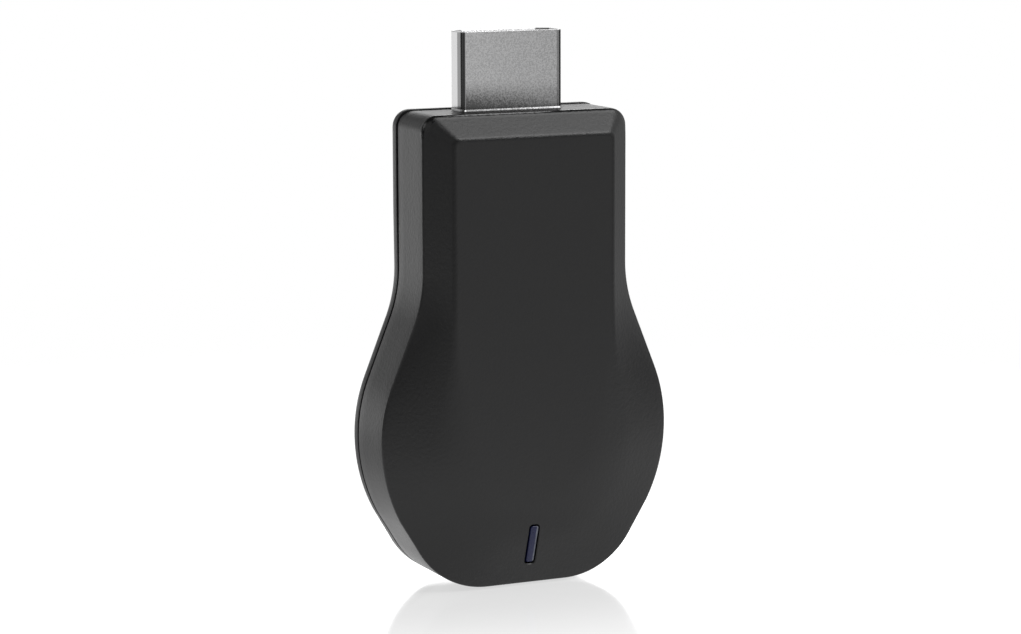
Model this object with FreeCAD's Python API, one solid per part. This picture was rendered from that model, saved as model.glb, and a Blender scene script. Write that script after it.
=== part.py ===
import FreeCAD, Part
import math
import os
from FreeCAD import Vector

# A wireless display dongle, standing on its flat foot with the plug upwards.
# X runs across, Y from the front panel to the rear face, Z up. Millimetres.
# The origin is the middle of the foot, halfway through the thickness.

# Body outline, seen from the front
neck_width = 28.2
body_height = 60.3
shoulder_radius = 2.3
round_radius = 19.85
round_centre_z = 19.4
neck_bend_radius = 17.4
neck_line_angle = 22.1
foot_line_angle = 29.2
foot_corner_radius = 12.0

# Depths, from the front panel to the rear face
panel_rise = 2.8
side_depth = 8.0
rear_depth = 2.2

# Raised front panel and the bevel round the rear face
panel_side_margin = 2.95
panel_top_margin = 2.75
panel_corner_radius = 0.5
rear_edge_width = 0.9

# Shell walls and the joint between the shells
front_wall = 1.4
rear_wall = 1.3
cavity_rim_share = 0.55
cavity_panel_share = 0.3
lip_height = 1.0
lip_thickness = 0.7
lip_clearance = 0.08
seam_width = 0.25
seam_depth = 0.3
least_corner_radius = 0.3
same_axis = 0.000001
overrun = 1.0

# Snap catches on the lip
catch_length = 3.0
catch_rise = 0.35
catch_clearance = 0.12
catch_ramp_share = 0.4
catch_crest_share = 0.6
catch_end_share = 0.85
neck_catch_z = 50.0
round_catch_angles = (-22.0, 16.0)

# Plug
plug_width = 13.9
plug_thickness = 4.45
plug_narrow_width = 10.5
plug_straight_side = 2.83
plug_corner_radius = 0.7
plug_sheet = 0.35
plug_setback = 3.87
plug_reach = 10.05
plug_inside = 8.3
plug_mouth_clearance = 0.12
plug_leg_length = 3.2
plug_leg_width = 0.8
ear_reach = 1.3
ear_height = 5.3
ear_length = 2.0
ear_rib_height = 1.1
ear_rib_length = 2.0

# Plug insulator and contacts
insulator_recess = 0.9
insulator_tail = 1.5
tongue_slot_width = 11.3
tongue_slot_height = 1.9
tongue_slot_depth = 7.0
contact_pitch = 1.0
contact_width = 0.35
contact_thickness = 0.2
contact_bulge = 0.3
contact_tail = 2.3
contact_step = 0.65
contact_bow = 2.0
front_contact_count = 10
rear_contact_count = 9
inner_clearance = 0.05

# Circuit board and the posts that hold it
board_thickness = 1.0
board_margin = 1.5
seat_clearance = 0.05
boss_radius = 1.7
pin_radius = 0.8
pin_clearance = 0.1
pin_reach = 1.0
neck_boss_inset = 4.7
neck_boss_drop = 3.9
rest_width = 2.6
rest_inset = 4.65
rest_angle = -39.0
rib_thickness = 0.9
rib_height = 0.7
rear_rib_steps = (-7.0, 3.0, 13.0)
plug_rib_step = 1.2
plug_rib_inset = 1.0

# Power socket in the foot
socket_width = 7.5
socket_narrow_width = 5.6
socket_thickness = 2.5
socket_straight_side = 1.3
socket_corner_radius = 0.4
socket_sheet = 0.25
socket_depth = 5.0
socket_recess = 0.5
socket_opening_clearance = 0.35
socket_contact_count = 5
socket_contact_pitch = 0.65
socket_contact_width = 0.3
socket_contact_thickness = 0.15
socket_tongue_width = 3.8
socket_tongue_thickness = 0.6
socket_block_depth = 1.5
socket_tongue_recess = 0.7
socket_foot_reach = 1.0
socket_foot_length = 1.2
socket_foot_setback = 0.4
socket_contact_setback = 0.2
socket_contact_step = 0.6
socket_contact_tail = 0.6

# Indicator slot, its lens and the light under it
slot_width = 1.35
slot_length = 5.05
slot_low_z = 2.95
lens_side_clearance = 0.17
lens_end_clearance = 0.15
lens_sink = 0.25
lens_flange_margin = 0.75
lens_flange_thickness = 0.7
lens_stem_width = 1.8
lens_stem_height = 1.4
light_length = 1.6
light_height = 0.8
light_thickness = 0.7
light_gap = 0.2
light_base_share = 0.5
light_dome_share = 0.6

# Mode button and its switch
button_length = 6.0
button_width = 2.4
button_rise = 0.35
button_clearance = 0.12
button_flange_margin = 0.8
button_flange_thickness = 0.7
button_flange_gap = 0.1
button_travel = 0.3
button_nub_width = 1.6
plunger_gap = 0.03
switch_length = 4.7
switch_width = 3.5
switch_height = 1.65
switch_board_inset = 0.45
switch_cover_thickness = 0.15
switch_cover_side_gap = 0.3
switch_cover_board_gap = 0.4
plunger_width = 2.0
plunger_head_width = 2.8
plunger_thickness = 0.85
plunger_reach = 0.85
plunger_head_depth = 0.6
plunger_clearance = 0.06

# Chips and small parts on the board
processor_size = 12.0
processor_thickness = 1.4
leads_per_side = 7
lead_pitch = 1.4
lead_width = 0.35
lead_reach = 1.0
lead_thickness = 0.15
chip_standoff = 0.1
chip_bevel_share = 0.15
pad_size = 11.0
pad_thickness = 0.5
heat_sink_size = 13.0
heat_sink_base = 1.0
fin_height = 1.6
fin_thickness = 0.7
fin_count = 6
flash_size = 5.3
flash_thickness = 1.6
flash_x = 5.6
flash_z = 23.6
flash_leads_per_side = 4
flash_lead_pitch = 1.27
module_width = 12.0
module_height = 12.5
module_thickness = 0.8
module_gap = 1.6
module_z = 20.6
notch_width = 0.7
notch_pitch = 1.9
notches_per_side = 6
can_width = 10.0
can_height = 9.4
can_thickness = 1.4
can_corner_radius = 0.6
antenna_length = 9.0
antenna_width = 1.2
antenna_rise = 2.0
antenna_sheet = 0.3
antenna_edge_gap = 1.65
antenna_leg_share = 0.3
crystal_edge_gap = 4.5
crystal_z = 30.0
crystal_width = 3.2
crystal_height = 2.5
crystal_thickness = 0.7
crystal_corner_radius = 0.35
regulator_width = 2.9
regulator_height = 1.6
regulator_thickness = 1.1
regulator_x = 7.3
regulator_z = 9.6
regulator_leads_per_side = 3
regulator_lead_pitch = 0.95
inductor_size = 4.0
inductor_thickness = 1.8
inductor_corner_share = 0.15
inductor_x = -6.6
inductor_z = 9.8
small_part_length = 1.6
small_part_width = 0.8
capacitor_thickness = 0.8
resistor_thickness = 0.45
terminal_length = 0.3
terminal_rise = 0.03
small_part_pitch = 2.1
small_part_gap = 1.3
capacitor_row_z = 15.2
resistor_row_z = 17.4
row_count = 4
rear_row_gap = 3.0
rear_row_count = 4

# Planes worked out from the sizes above
half_neck = neck_width / 2
rear_y = (panel_rise + side_depth + rear_depth) / 2
front_y = -rear_y
rim_y = front_y + panel_rise
parting_y = rim_y + side_depth
inner_front_y = front_y + front_wall
inner_rear_y = rear_y - rear_wall
lip_inset = front_wall + lip_clearance
tray_inset = lip_inset + lip_thickness
lip_y = parting_y - lip_height
plug_front_y = rim_y + plug_setback
plug_rear_y = plug_front_y + plug_thickness
plug_y = (plug_front_y + plug_rear_y) / 2
plug_top_z = body_height + plug_reach
plug_bottom_z = body_height - plug_inside
insulator_top_z = plug_top_z - insulator_recess
insulator_bottom_z = plug_bottom_z - insulator_tail
slot_floor_z = insulator_top_z - tongue_slot_depth
board_front_y = plug_y - board_thickness / 2
board_rear_y = plug_y + board_thickness / 2
board_top_z = insulator_bottom_z - seat_clearance
board_inset = front_wall + board_margin
slot_high_z = slot_low_z + slot_length
socket_rear_y = board_front_y - inner_clearance
socket_front_y = socket_rear_y - socket_thickness
socket_top_z = socket_recess + socket_depth
chip_rear_y = board_front_y - chip_standoff
switch_outer_x = round_radius - board_inset - switch_board_inset
plunger_tip_x = switch_outer_x + plunger_reach
plunger_y = board_front_y - switch_height / 2
button_y = plunger_y
board_reach = round_radius - board_inset
antenna_x = antenna_edge_gap + antenna_width / 2 - board_reach
module_x = antenna_x + antenna_width / 2 + module_gap + module_width / 2
crystal_x = board_reach - crystal_edge_gap - crystal_width / 2
small_part_row_x = module_x + module_width / 2 + small_part_gap + small_part_length / 2
contact_tail_z = board_top_z - contact_tail
processor_z = (module_z + module_height / 2 + contact_tail_z) / 2


def direction(angle):
    """X and Z of a unit step at an angle from the X axis, in degrees."""
    return math.cos(math.radians(angle)), math.sin(math.radians(angle))


def arc(centre, radius, start, end):
    """Start, middle and end of an arc in the front view, as X and Z."""
    steps = [direction(angle) for angle in (start, (start + end) / 2, end)]
    return [(centre[0] + radius * x, centre[1] + radius * z) for x, z in steps]


def closed_outline(right_side):
    """A whole outline from its right side: the top and bottom pieces join it to its mirror image."""
    left_side = [[(-x, z) for x, z in reversed(piece)] for piece in reversed(right_side)]
    top = [right_side[-1][-1], left_side[0][0]]
    return right_side + [top] + left_side


def body_outline(inset):
    """The body from the front, moved in by the inset. Arcs joined by lines that touch them:
    foot corner, foot line, round, neck line, neck bend, straight neck and shoulder."""
    centre = (0, round_centre_z)
    line_x, line_z = direction(foot_line_angle)
    foot_x = (round_radius - foot_corner_radius + (foot_corner_radius - round_centre_z) * line_z) / line_x
    bend_x = half_neck + neck_bend_radius
    neck_x, neck_z = direction(neck_line_angle)
    bend_z = round_centre_z + (round_radius + neck_bend_radius - bend_x * neck_x) / neck_z
    shoulder = max(shoulder_radius - inset, least_corner_radius)
    shoulder_centre = (half_neck - inset - shoulder, body_height - inset - shoulder)
    foot = arc((foot_x, foot_corner_radius), foot_corner_radius - inset, -90, -foot_line_angle)
    low_round = arc(centre, round_radius - inset, -foot_line_angle, 0)
    high_round = arc(centre, round_radius - inset, 0, neck_line_angle)
    bend = arc((bend_x, bend_z), neck_bend_radius + inset, 180 + neck_line_angle, 180)
    corner = arc(shoulder_centre, shoulder, 0, 90)
    return closed_outline([
        foot, [foot[-1], low_round[0]], low_round, high_round, [high_round[-1], bend[0]],
        bend, [bend[-1], corner[0]], corner,
    ])


def panel_outline(inset):
    """The raised panel, moved in by the inset: straight sides, a round lower end about the centre
    of the body's round, and a piece for each piece of the body's outline."""
    half = half_neck - panel_side_margin - inset
    top = body_height - panel_top_margin - inset
    corner = arc((half - panel_corner_radius, top - panel_corner_radius), panel_corner_radius, 0, 90)
    right = body_outline(0)[:8]
    angles = [math.degrees(math.atan2(piece[0][1] - round_centre_z, piece[0][0])) for piece in right[:3]]
    centre = (0, round_centre_z)
    ends = [arc(centre, half, start, end) for start, end in zip(angles, angles[1:] + [0])]
    side_z = [piece[0][1] for piece in right[3:7]] + [corner[0][1]]
    sides = [[(half, low), (half, high)] for low, high in zip(side_z, side_z[1:])]
    return closed_outline(ends + sides + [corner])


def panel_foot(inset):
    """The lowest piece of the panel's outline: the arc across its middle."""
    half = half_neck - panel_side_margin - inset
    start = panel_outline(inset)[-1][-1]
    end = panel_outline(inset)[0][0]
    return [start, (0, round_centre_z - half), end]


def foot_line(inset):
    """The flat foot of the body's outline."""
    outline = body_outline(inset)
    return [outline[-1][-1], outline[0][0]]


def edge(points, y):
    """A line or an arc through points of the front view, at a depth."""
    corners = [Vector(x, y, z) for x, z in points]
    if len(corners) == 2:
        return Part.LineSegment(*corners).toShape()
    return Part.Arc(*corners).toShape()


def wall_between(near, far):
    """The straight wall from one edge to another: a plane between parallel lines, a cylinder or
    cone between arcs about one axis, and otherwise a ruled face."""
    start = near.firstVertex().Point
    far_start = far.firstVertex().Point
    curves = [near.Curve, far.Curve]
    if all(isinstance(curve, Part.Line) for curve in curves):
        if near.Curve.Direction.cross(far.Curve.Direction).Length < same_axis:
            corners = [start, near.lastVertex().Point, far.lastVertex().Point, far_start]
            return Part.Face(Part.makePolygon(corners + corners[:1]))
    if all(isinstance(curve, Part.Circle) for curve in curves):
        apart = far.Curve.Center - near.Curve.Center
        if math.hypot(apart.x, apart.z) < same_axis:
            turn = math.degrees(near.LastParameter - near.FirstParameter)
            side = Part.LineSegment(start, far_start).toShape()
            return side.revolve(near.Curve.Center, near.Curve.Axis, turn)
    return Part.makeRuledSurface(near, far)


def layered_solid(layers):
    """A closed solid through outlines at their depths, with straight walls from each to the next."""
    rings = [[edge(piece, y) for piece in outline] for outline, y in layers]
    walls = [
        wall_between(near, far)
        for ring, next_ring in zip(rings, rings[1:])
        for near, far in zip(ring, next_ring)
    ]
    ends = [Part.Face(Part.Wire(ring)) for ring in (rings[0], rings[-1])]
    shell = Part.Shell([face for wall in walls for face in wall.Faces] + ends)
    shell.sewShape()
    solid = Part.Solid(shell)
    if solid.Volume < 0:
        solid.reverse()
    return solid


def body_prism(inset, low_y, high_y):
    """The body's outline, moved in by the inset, carried from one depth to another."""
    outline = body_outline(inset) + [foot_line(inset)]
    face = Part.Face(Part.Wire([edge(piece, low_y) for piece in outline]))
    return face.extrude(Vector(0, high_y - low_y, 0))


def box(low, high):
    """A block from its lowest to its highest corner."""
    size = [b - a for a, b in zip(low, high)]
    return Part.makeBox(*size, Vector(*low))


def block(x, z, width, height, low_y, high_y):
    """A block centred on a point of the front view."""
    return box((x - width / 2, low_y, z - height / 2), (x + width / 2, high_y, z + height / 2))


def post(x, z, radius, low_y, high_y):
    """A round post along the depth."""
    return Part.makeCylinder(radius, high_y - low_y, Vector(x, low_y, z), Vector(0, 1, 0))


def fused(shapes):
    """One shape from several, with the seams between flush faces taken out."""
    return shapes[0].multiFuse(shapes[1:]).removeSplitter()


def long_edges(shape, axis):
    """The straight edges that lie along an axis."""
    return [
        item for item in shape.Edges
        if isinstance(item.Curve, Part.Line) and abs(item.Curve.Direction.dot(axis)) > 0.999
    ]


def formed_prism(width, narrow_width, wide_y, narrow_y, straight, corner, grow, low_z, high_z):
    """A plug-shaped prism along Z: a wide flat side, straight flanks, then slants to a narrower
    side. Growing it moves every face out by the same amount."""
    way = 1 if narrow_y > wide_y else -1
    slant = math.atan2((width - narrow_width) / 2, abs(narrow_y - wide_y) - straight)
    flank_y = wide_y + way * (straight + grow * math.tan(slant / 2))
    half = width / 2 + grow
    narrow_half = narrow_width / 2 + grow * math.tan(math.pi / 4 - slant / 2)
    right = [(half, wide_y - way * grow), (half, flank_y), (narrow_half, narrow_y + way * grow)]
    points = right + [(-x, y) for x, y in reversed(right)]
    loop = [Vector(x, y, low_z) for x, y in points]
    face = Part.Face(Part.makePolygon(loop + loop[:1]))
    prism = face.extrude(Vector(0, 0, high_z - low_z))
    return prism.makeFillet(corner, long_edges(prism, Vector(0, 0, 1)))


def plug_prism(grow, low_z, high_z):
    """The plug's section, grown or shrunk, between two heights."""
    corner = plug_corner_radius + grow
    return formed_prism(
        plug_width, plug_narrow_width, plug_front_y, plug_rear_y, plug_straight_side,
        corner, grow, low_z, high_z,
    )


def socket_prism(grow, low_z, high_z):
    """The power socket's section, its wide side towards the board."""
    corner = socket_corner_radius + grow
    return formed_prism(
        socket_width, socket_narrow_width, socket_rear_y, socket_front_y, socket_straight_side,
        corner, grow, low_z, high_z,
    )


def pill(half_length, half_width, low_x, high_x):
    """A bar along X with round ends, centred on the mode button."""
    ends = [
        Part.makeCylinder(half_width, high_x - low_x, Vector(low_x, button_y, z), Vector(1, 0, 0))
        for z in (round_centre_z - half_length + half_width, round_centre_z + half_length - half_width)
    ]
    straight = half_length - half_width
    middle = box(
        (low_x, button_y - half_width, round_centre_z - straight),
        (high_x, button_y + half_width, round_centre_z + straight),
    )
    return fused([middle] + ends)


def round_drum(radius):
    """A drum about the centre of the body's round, through the whole thickness."""
    return post(0, round_centre_z, radius, front_y, rear_y)


def boss_places():
    """The two points in the neck where a pin passes through the board into the rear shell."""
    return [(side * (half_neck - neck_boss_inset), board_top_z - neck_boss_drop) for side in (-1, 1)]


def rests(low_y, high_y):
    """The two blocks in the round that the lower part of the board lies between."""
    step_x, step_z = direction(rest_angle)
    reach = round_radius - rest_inset
    return [
        block(side * reach * step_x, round_centre_z + reach * step_z, rest_width, rest_width, low_y, high_y)
        for side in (-1, 1)
    ]


def catch_places():
    """Each snap catch's point on the body's outline, and the way it faces, in degrees."""
    places = [(half_neck, neck_catch_z, 0), (-half_neck, neck_catch_z, 180)]
    for angle in round_catch_angles:
        step_x, step_z = direction(angle)
        z = round_centre_z + round_radius * step_z
        places += [(round_radius * step_x, z, angle), (-round_radius * step_x, z, 180 - angle)]
    return places


def catch_wedge(place, grow):
    """One snap catch: a wedge that stands out of the lip, or its pocket when grown."""
    x, z, angle = place
    base = -lip_inset - lip_thickness / 2
    tip = -lip_inset + catch_rise + grow
    profile = [
        (base, lip_y - grow), (-lip_inset, lip_y - grow),
        (tip, lip_y + lip_height * catch_ramp_share - grow),
        (tip, lip_y + lip_height * catch_crest_share + grow),
        (-lip_inset, lip_y + lip_height * catch_end_share + grow),
        (base, lip_y + lip_height * catch_end_share + grow),
    ]
    length = catch_length + 2 * grow
    loop = [Vector(out, y, -length / 2) for out, y in profile]
    wedge = Part.Face(Part.makePolygon(loop + loop[:1])).extrude(Vector(0, 0, length))
    wedge.rotate(Vector(0, 0, 0), Vector(0, 1, 0), -angle)
    wedge.translate(Vector(x, 0, z))
    return wedge


def slot_prism(width, low_z, high_z, low_y, high_y):
    """An upright bar with round ends, along the depth, on the middle line."""
    half = width / 2
    ends = [post(0, z, half, low_y, high_y) for z in (low_z + half, high_z - half)]
    middle = box((-half, low_y, low_z + half), (half, high_y, high_z - half))
    return fused([middle] + ends)


def front_form():
    """The outside of the front shell: raised panel, facets down to the rim, and the side wall."""
    body = body_outline(0) + [foot_line(0)]
    panel = panel_outline(0) + [panel_foot(0)]
    return layered_solid([(body, parting_y), (body, rim_y), (panel, front_y)])


def front_cavity():
    """The hollow of the front shell: straight inside the side wall, then a cone in the round and
    a wedge in the neck, which follow the facets at the wall's thickness."""
    low_y = rim_y + cavity_rim_share * front_wall
    panel_half = half_neck - panel_side_margin - cavity_panel_share * front_wall
    top_z = body_height - panel_top_margin - cavity_panel_share * front_wall
    cone = Part.makeCone(
        round_radius - front_wall, panel_half, low_y - inner_front_y,
        Vector(0, low_y, round_centre_z), Vector(0, -1, 0),
    )
    neck_half = half_neck - front_wall
    neck_top_z = body_height - front_wall
    low_corners = [(neck_half, round_centre_z), (neck_half, neck_top_z)]
    high_corners = [(panel_half, round_centre_z), (panel_half, top_z)]
    wedge = layered_solid([
        (closed_outline([low_corners]) + [[(-neck_half, round_centre_z), low_corners[0]]], low_y),
        (closed_outline([high_corners]) + [[(-panel_half, round_centre_z), high_corners[0]]], inner_front_y),
    ])
    return fused([body_prism(front_wall, low_y, rear_y), cone, wedge])


def socket_opening():
    """The opening in the foot for the power lead's plug."""
    return socket_prism(socket_opening_clearance, -overrun, front_wall + overrun)


def ear_rib(side, low_z):
    """A rib of the front shell beside the plug, which traps one of its ears."""
    near = plug_width / 2 + plug_mouth_clearance
    low = (near if side > 0 else -near - ear_rib_length, front_y, low_z)
    high = (near + ear_rib_length if side > 0 else -near, lip_y - seat_clearance, low_z + ear_rib_height)
    return box(low, high)


def front_ribs():
    """Ribs that carry the plug and trap its ears, from the panel's inner side."""
    ear_z = body_height - ear_height
    ribs = [
        ear_rib(side, low_z)
        for side in (-1, 1)
        for low_z in (ear_z - seat_clearance - ear_rib_height, ear_z + plug_sheet + seat_clearance)
    ]
    for z in (plug_bottom_z + plug_rib_step, ear_z + plug_rib_step):
        ribs.append(block(
            0, z, plug_width - 2 * plug_rib_inset, rib_thickness, front_y, plug_front_y - seat_clearance
        ))
    return ribs


def front_shell():
    """The front shell: panel, facets and side wall, with the posts, ribs, pockets and openings."""
    form = front_form()
    supports = [post(x, z, boss_radius, front_y, board_front_y - seat_clearance) for x, z in boss_places()]
    supports += [post(x, z, pin_radius, front_y, board_rear_y + pin_reach) for x, z in boss_places()]
    supports += rests(front_y, board_front_y - seat_clearance) + front_ribs()
    inside = fused(supports).common(form)
    shell = fused([form.cut(front_cavity()), inside])
    openings = [
        plug_prism(plug_mouth_clearance, body_height - 2 * front_wall, body_height + overrun),
        socket_opening(),
        slot_prism(slot_width, slot_low_z, slot_high_z, front_y - overrun, rim_y + front_wall),
        pill(
            button_length / 2 + button_clearance, button_width / 2 + button_clearance,
            round_radius - 2 * front_wall, round_radius + overrun,
        ),
    ]
    openings += [catch_wedge(place, catch_clearance) for place in catch_places()]
    return shell.cut(openings)


def rear_shell():
    """The rear shell: a shallow bevelled tray, a lip with snap catches, and posts and ribs."""
    tray = layered_solid([
        (body_outline(inset) + [foot_line(inset)], y)
        for inset, y in (
            (seam_width, parting_y), (0, parting_y + seam_depth),
            (0, rear_y - rear_edge_width), (rear_edge_width, rear_y),
        )
    ])
    lip = body_prism(lip_inset, lip_y, parting_y)
    hollow = body_prism(tray_inset, lip_y, inner_rear_y)
    shell = fused([tray, lip]).cut(hollow)
    supports = [catch_wedge(place, 0) for place in catch_places()]
    supports += rests(board_rear_y + seat_clearance, rear_y - rear_wall / 2)
    for x, z in boss_places():
        cup = post(x, z, boss_radius, board_rear_y + seat_clearance, rear_y - rear_wall / 2)
        supports.append(cup.cut(
            post(x, z, pin_radius + pin_clearance, board_rear_y, board_rear_y + pin_reach + pin_clearance)
        ))
    for z in (plug_bottom_z + plug_rib_step, body_height - ear_height + plug_rib_step):
        supports.append(block(
            0, z, plug_narrow_width - 2 * plug_rib_inset, rib_thickness,
            plug_rear_y + seat_clearance, rear_y - rear_wall / 2,
        ))
    for step in rear_rib_steps:
        supports.append(block(
            0, round_centre_z + step, neck_width - 4 * tray_inset, rib_thickness,
            inner_rear_y - rib_height, rear_y - rear_wall / 2,
        ))
    shell = fused([shell] + supports)
    return shell.cut(plug_prism(plug_mouth_clearance, plug_bottom_z, body_height + overrun))


def indicator_lens():
    """The light guide: a bar in the slot, a flange behind the wall and a stem back to the light."""
    form = front_form()
    cavity = front_cavity()
    bar = slot_prism(
        slot_width - 2 * lens_side_clearance, slot_low_z + lens_end_clearance,
        slot_high_z - lens_end_clearance, front_y, rim_y + 2 * front_wall,
    )
    sunk = form.copy()
    sunk.translate(Vector(0, lens_sink, 0))
    flange = block(
        0, (slot_low_z + slot_high_z) / 2, slot_width + 2 * lens_flange_margin,
        slot_length + 2 * lens_flange_margin, front_y, rim_y + 2 * front_wall,
    )
    flange_top = cavity.copy()
    flange_top.translate(Vector(0, seat_clearance, 0))
    flange_base = cavity.copy()
    flange_base.translate(Vector(0, seat_clearance + lens_flange_thickness, 0))
    stem_low_z = slot_high_z - lens_stem_height + lens_end_clearance
    stem = box(
        (-lens_stem_width / 2, inner_front_y, stem_low_z),
        (lens_stem_width / 2, board_front_y - light_thickness - light_gap, stem_low_z + lens_stem_height),
    )
    bar = bar.common(sunk).cut(flange_base)
    flange = flange.common(flange_top).cut(flange_base)
    return fused([bar, flange, stem.common(flange_top)])


def mode_button():
    """The mode button: a curved pill through the flank, a flange inside the wall and a nub."""
    flank = round_radius - front_wall
    cap = pill(button_length / 2, button_width / 2, 0, 2 * round_radius)
    flange = box(
        (0, button_y - button_width / 2 - button_flange_margin,
         round_centre_z - button_length / 2 - button_flange_margin),
        (2 * round_radius, button_y + button_width / 2 + button_flange_margin,
         round_centre_z + button_length / 2 + button_flange_margin),
    )
    core = round_drum(flank - button_flange_gap - button_flange_thickness)
    cap = cap.common(round_drum(round_radius + button_rise)).cut(core)
    flange = flange.common(round_drum(flank - button_flange_gap)).cut(core)
    nub_half = button_nub_width / 2
    nub = box(
        (plunger_tip_x + plunger_gap, button_y - nub_half, round_centre_z - nub_half),
        (flank - button_flange_gap - button_flange_thickness / 2, button_y + nub_half,
         round_centre_z + nub_half),
    )
    return fused([cap, flange, nub])


def plunger_bar(low_x, high_x, width, grow):
    """A bar of the plunger, or the room for it when grown."""
    return box(
        (low_x, plunger_y - plunger_thickness / 2 - grow, round_centre_z - width / 2 - grow),
        (high_x, plunger_y + plunger_thickness / 2 + grow, round_centre_z + width / 2 + grow),
    )


def switch_plunger():
    """The switch's plunger: a wide head trapped inside the body and a bar out of its side."""
    head_x = switch_outer_x - 2 * plunger_head_depth
    head = plunger_bar(head_x, head_x + plunger_head_depth, plunger_head_width, 0)
    bar = plunger_bar(head_x + plunger_head_depth, plunger_tip_x, plunger_width, 0)
    return fused([head, bar])


def switch_body():
    """The side switch's moulded body, with the room that its plunger slides in."""
    head_x = switch_outer_x - 2 * plunger_head_depth
    centre_x = switch_outer_x - switch_width / 2
    body = block(
        centre_x, round_centre_z, switch_width, switch_length,
        board_front_y - switch_height, board_front_y,
    )
    room = plunger_bar(
        head_x - button_travel - plunger_clearance, head_x + plunger_head_depth + plunger_clearance,
        plunger_head_width, plunger_clearance,
    )
    mouth = plunger_bar(
        head_x + plunger_head_depth, switch_outer_x + overrun, plunger_width, plunger_clearance
    )
    return body.cut([room, mouth])


def switch_cover():
    """The folded sheet over the switch's body."""
    centre_x = switch_outer_x - switch_width / 2
    face_y = board_front_y - switch_height
    outer = block(
        centre_x, round_centre_z, switch_width - 2 * switch_cover_side_gap,
        switch_length + 2 * switch_cover_thickness,
        face_y - switch_cover_thickness, board_front_y - switch_cover_board_gap,
    )
    return outer.cut(block(centre_x, round_centre_z, switch_width, switch_length, face_y, board_front_y))


def circuit_board():
    """The board, cut to the body's outline, with holes for the pins and the plug's legs."""
    board = body_prism(board_inset, board_front_y, board_rear_y)
    board = board.cut(box((-half_neck, front_y, board_top_z), (half_neck, rear_y, body_height)))
    holes = [post(x, z, pin_radius + pin_clearance, front_y, rear_y) for x, z in boss_places()]
    for side in (-1, 1):
        leg_x = side * (plug_width - plug_sheet) / 2
        holes.append(block(
            leg_x, plug_bottom_z - plug_leg_length / 2,
            plug_sheet + 2 * inner_clearance, plug_leg_length + 2 * inner_clearance,
            board_front_y - overrun, board_rear_y + overrun,
        ))
    return board.cut(holes)


def plug_shell():
    """The plug's formed sheet: a hollow section, a leg each side down to the board, and two ears."""
    shell = plug_prism(0, plug_bottom_z, plug_top_z).cut(
        plug_prism(-plug_sheet, plug_bottom_z - overrun, plug_top_z + overrun)
    )
    pieces = [shell]
    ear_z = body_height - ear_height
    for side in (-1, 1):
        leg_x = side * (plug_width - plug_sheet) / 2
        pieces.append(block(
            leg_x, plug_bottom_z - plug_leg_length / 2, plug_sheet, plug_leg_length,
            plug_y - plug_leg_width / 2, plug_y + plug_leg_width / 2,
        ))
        near = plug_width / 2 - plug_sheet / 2
        far = plug_width / 2 + ear_reach
        flank_y = plug_front_y + plug_straight_side / 2
        pieces.append(box(
            (near if side > 0 else -far, flank_y - ear_length / 2, ear_z),
            (far if side > 0 else -near, flank_y + ear_length / 2, ear_z + plug_sheet),
        ))
    return fused(pieces)


def contact_y(side):
    """The middle of a row of contacts, in front of the plug's middle plane or behind it."""
    return plug_y + side * (tongue_slot_height + contact_thickness) / 2


def contact_places(count):
    """The X places of a row of contacts."""
    return [(index - (count - 1) / 2) * contact_pitch for index in range(count)]


def plug_insulator():
    """The plug's plastic core: a slot for the socket's tongue and a channel for each contact."""
    core = plug_prism(-plug_sheet - inner_clearance, insulator_bottom_z, insulator_top_z)
    cuts = [box(
        (-tongue_slot_width / 2, plug_y - tongue_slot_height / 2, slot_floor_z),
        (tongue_slot_width / 2, plug_y + tongue_slot_height / 2, plug_top_z),
    )]
    for side, count in ((-1, front_contact_count), (1, rear_contact_count)):
        for x in contact_places(count):
            cuts.append(box(
                (x - contact_width / 2 - inner_clearance,
                 contact_y(side) - contact_thickness / 2 - inner_clearance, insulator_bottom_z - overrun),
                (x + contact_width / 2 + inner_clearance,
                 contact_y(side) + contact_thickness / 2 + inner_clearance, insulator_top_z - plug_sheet),
            ))
    return core.cut(cuts)


def bent_strip(path, thickness, width, x):
    """A strip of sheet across X that follows a path of Y and Z points."""
    outward = [(y - thickness / 2, z) for y, z in path]
    back = [(y + thickness / 2, z) for y, z in reversed(path)]
    loop = [Vector(x - width / 2, y, z) for y, z in outward + back]
    return Part.Face(Part.makePolygon(loop + loop[:1])).extrude(Vector(width, 0, 0))


def plug_contacts(side, count):
    """A row of plug contacts: a tail on the board, a step out, and a bowed tip in the slot."""
    tail_y = plug_y + side * (board_thickness + contact_thickness) / 2
    high_y = contact_y(side)
    tip_z = insulator_top_z - plug_sheet - inner_clearance
    path = [
        (tail_y, contact_tail_z), (tail_y, board_top_z - contact_step), (high_y, board_top_z),
        (high_y, tip_z - 2 * contact_bow), (high_y - side * contact_bulge, tip_z - contact_bow),
        (high_y, tip_z),
    ]
    strips = [
        bent_strip(path, contact_thickness, contact_width, x) for x in contact_places(count)
    ]
    return Part.makeCompound(strips)


def power_socket_shell():
    """The power socket's formed sheet, with two feet on the board."""
    inner = socket_prism(-socket_sheet, socket_recess - overrun, socket_top_z + overrun)
    shell = socket_prism(0, socket_recess, socket_top_z)
    foot_low_z = socket_top_z - socket_foot_setback - socket_foot_length
    near = socket_width / 2 - socket_sheet
    far = socket_width / 2 + socket_foot_reach
    feet = [
        box(
            (near if side > 0 else -far, socket_rear_y - socket_corner_radius, foot_low_z),
            (far if side > 0 else -near, board_front_y, foot_low_z + socket_foot_length),
        )
        for side in (-1, 1)
    ]
    return fused([shell] + feet).cut(inner)


def socket_tongue_y():
    """The middle plane of the power socket's tongue."""
    return (socket_front_y + socket_rear_y) / 2


def socket_contact_y():
    """The middle plane of the power socket's contacts, on the tongue's front."""
    return socket_tongue_y() - (socket_tongue_thickness + socket_contact_thickness) / 2


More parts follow.
